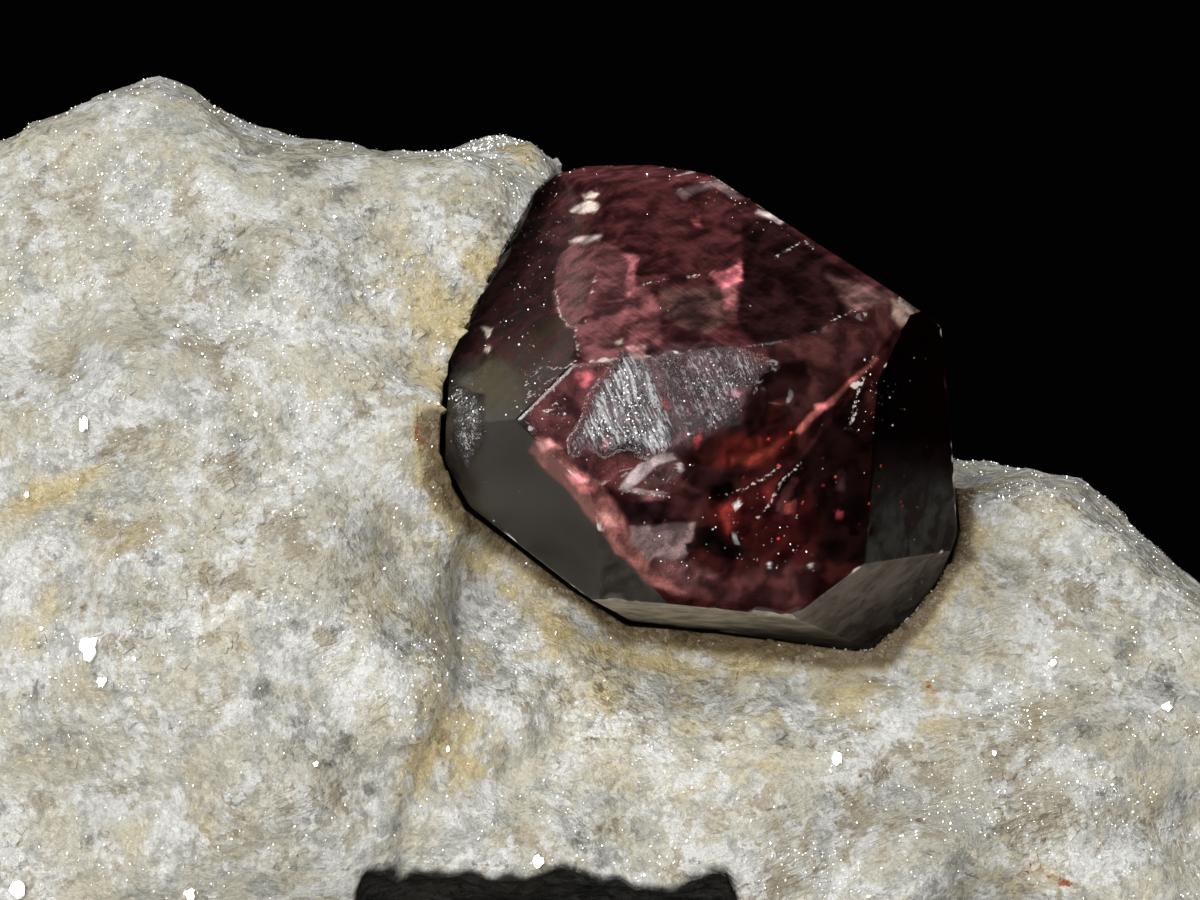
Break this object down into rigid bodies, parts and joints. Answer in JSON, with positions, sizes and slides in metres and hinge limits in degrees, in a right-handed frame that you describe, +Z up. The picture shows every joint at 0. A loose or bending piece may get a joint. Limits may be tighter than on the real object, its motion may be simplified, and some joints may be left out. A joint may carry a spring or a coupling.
{
  "type": "garnet in matrix",
  "caption": "Mineral specimen: a faceted dark red garnet crystal seated in a rough block of white granular rock with a flat base.",
  "frame": {"origin": "centre of the bounding box at the level of the flat base that the rock rests on", "axes": "+Z up, +X to the right of the front view along the longest side, -Y towards the viewer, where the garnet stands out"},
  "size_m": [0.0338, 0.0196, 0.0162],
  "materials": {
    "rock": "sugary white feldspar and quartz rock with pale ochre stains and mica glints",
    "garnet": "clear deep red crystal with etched, frosted and chipped faces"
  },
  "bodies": {
    "root": {"matrix": "rock", "garnet": "garnet"}
  },
  "joints": []
}
